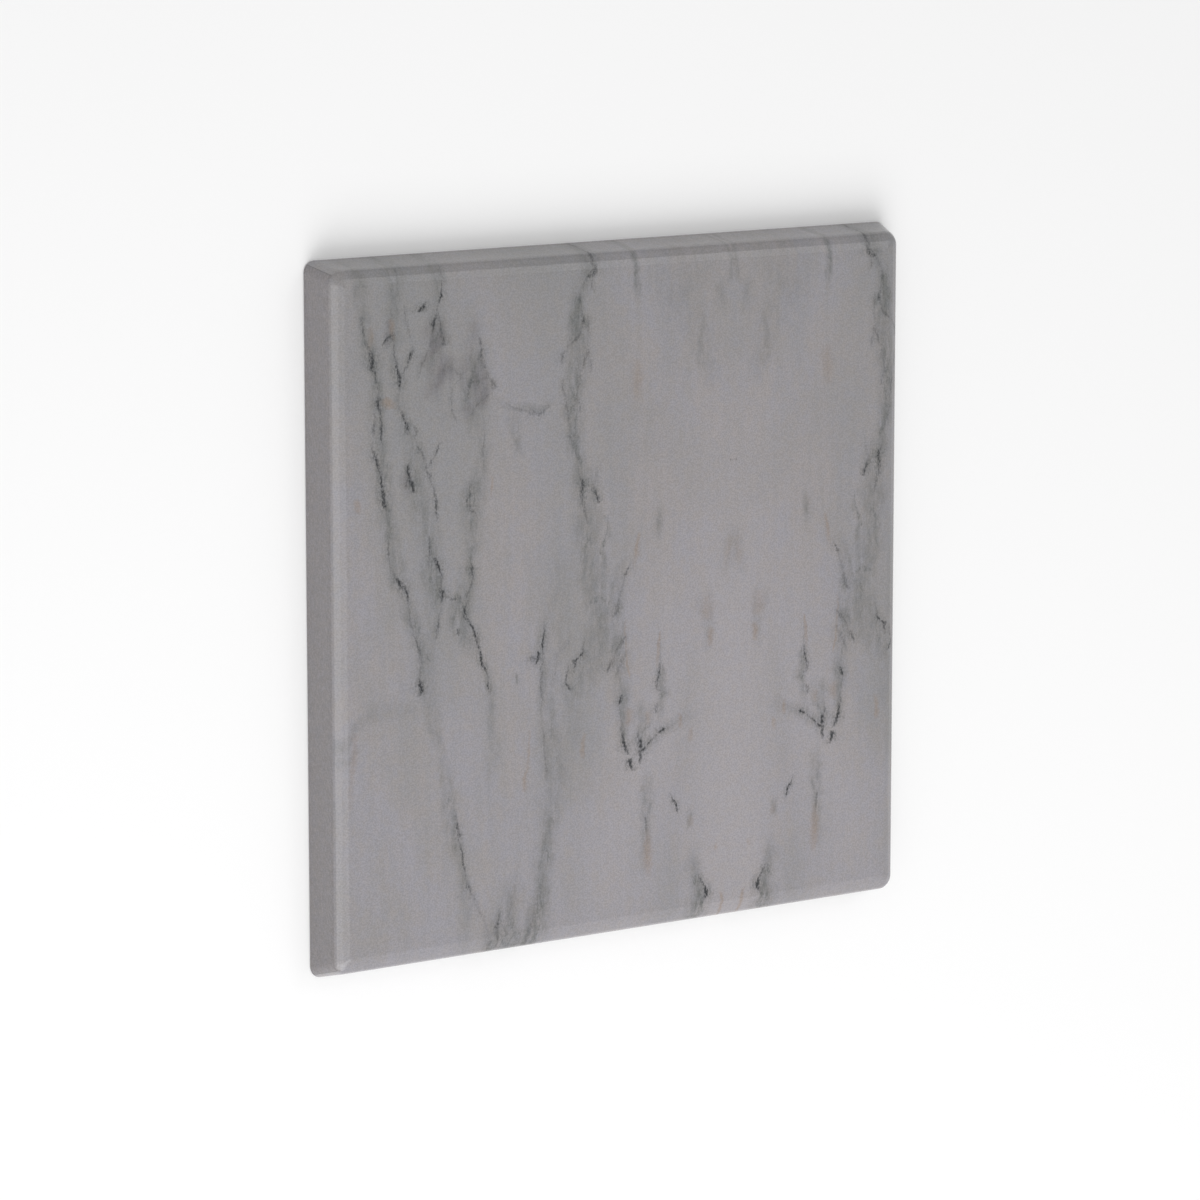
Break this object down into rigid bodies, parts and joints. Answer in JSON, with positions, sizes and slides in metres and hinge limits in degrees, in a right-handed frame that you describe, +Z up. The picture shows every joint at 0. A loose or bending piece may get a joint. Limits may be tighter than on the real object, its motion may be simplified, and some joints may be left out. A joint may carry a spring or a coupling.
{
  "type": "leatherworking slab",
  "caption": "Square polished stone slab with leaning sides and a double-bevelled edge, laid flat as a hard, dead-blow work surface for stamping, punching and skiving leather.",
  "frame": {"origin": "on the back face, under the middle of the slab", "axes": "+Z up, out of the polished working face; +X and +Y along the slab's two equal sides"},
  "size_m": [0.305, 0.305, 0.0165],
  "materials": {
    "stone": "polished"
  },
  "bodies": {
    "root": {"stone_slab": "stone"}
  },
  "joints": []
}
